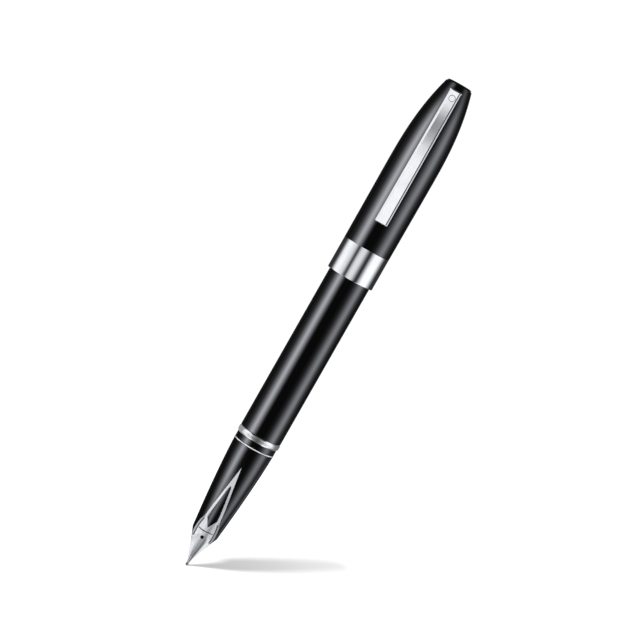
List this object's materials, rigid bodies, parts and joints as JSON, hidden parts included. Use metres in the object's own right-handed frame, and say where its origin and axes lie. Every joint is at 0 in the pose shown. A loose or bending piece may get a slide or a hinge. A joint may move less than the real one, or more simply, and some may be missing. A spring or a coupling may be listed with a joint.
{
  "type": "fountain pen",
  "caption": "Slim black pen with an inlaid steel-coloured nib, pull-off clip cap posted on the barrel, and a screw piston ink converter inside.",
  "frame": {"origin": "the writing point, on the pen's centre line at the tip of the nib", "axes": "+Z along the pen from the nib to the closed end of the posted cap; -Y is the side that the nib's face and the clip look to; +X is to the right seen from that side"},
  "size_m": [0.0138, 0.0154, 0.1497],
  "materials": {
    "nib": "satin",
    "tipping": "polished",
    "feed": "satin",
    "grip": "gloss",
    "bright_trim": "polished",
    "brushed_trim": "satin",
    "brass_threads": "satin",
    "seal": "matte",
    "clear_tube": "gloss",
    "steel": "satin",
    "knob": "satin",
    "rod": "satin",
    "liner": "matte",
    "lacquer": "gloss"
  },
  "bodies": {
    "section": {"nib": "nib", "nib_tipping": "tipping", "feed": "feed", "section_shell": "grip", "section_trim_ring": "bright_trim", "section_collar": "grip", "clutch_ring": "bright_trim", "section_connector": "brass_threads", "seal_ring": "seal", "ink_nipple": "feed"},
    "converter": {"converter_tube": "clear_tube", "converter_sleeve": "steel"},
    "knob": {"converter_knob": "knob"},
    "piston": {"piston_head": "knob", "piston_seals": "seal", "piston_rod": "rod"},
    "barrel": {"barrel_shell": "lacquer", "barrel_bush": "brass_threads", "barrel_tail": "lacquer"},
    "cap": {"cap_shell": "lacquer", "cap_band": "bright_trim", "cap_clutch": "brass_threads", "inner_cap": "liner", "clip_block": "steel", "clip_pin": "steel", "clip_spring": "steel", "cap_screw": "steel"},
    "clip": {"clip": "brushed_trim", "clip_emblem": "bright_trim"}
  },
  "joints": [
    {"name": "barrel_pull", "type": "slide", "parent": "section", "child": "barrel", "axis": [0, 0, 1], "range_m": [0, 0.08]},
    {"name": "cap_pull", "type": "slide", "parent": "barrel", "child": "cap", "axis": [0, 0, 1], "range_m": [0, 0.045]},
    {"name": "clip_lift", "type": "hinge", "parent": "cap", "child": "clip", "pos_m": [0, -0.0019, 0.1459], "axis": [-1, 0, 0], "range_deg": [0, 5], "stiffness_Nm_per_rad": 1.2, "springref_deg": -5.73, "deforming": ["clip_spring"]},
    {"name": "converter_pull", "type": "slide", "parent": "section", "child": "converter", "axis": [0, 0, 1], "range_m": [0, 0.018]},
    {"name": "knob_turn", "type": "hinge", "parent": "converter", "child": "knob", "pos_m": [0, 0, 0.0876], "axis": [0, 0, 1], "range_deg": [0, 2160]},
    {"name": "piston_slide", "type": "slide", "parent": "converter", "child": "piston", "axis": [0, 0, -1], "range_m": [0, 0.018]}
  ],
  "couplings": [
    {"joint": "knob_turn", "follows": "piston_slide", "rad_per_m": 2094.4}
  ]
}
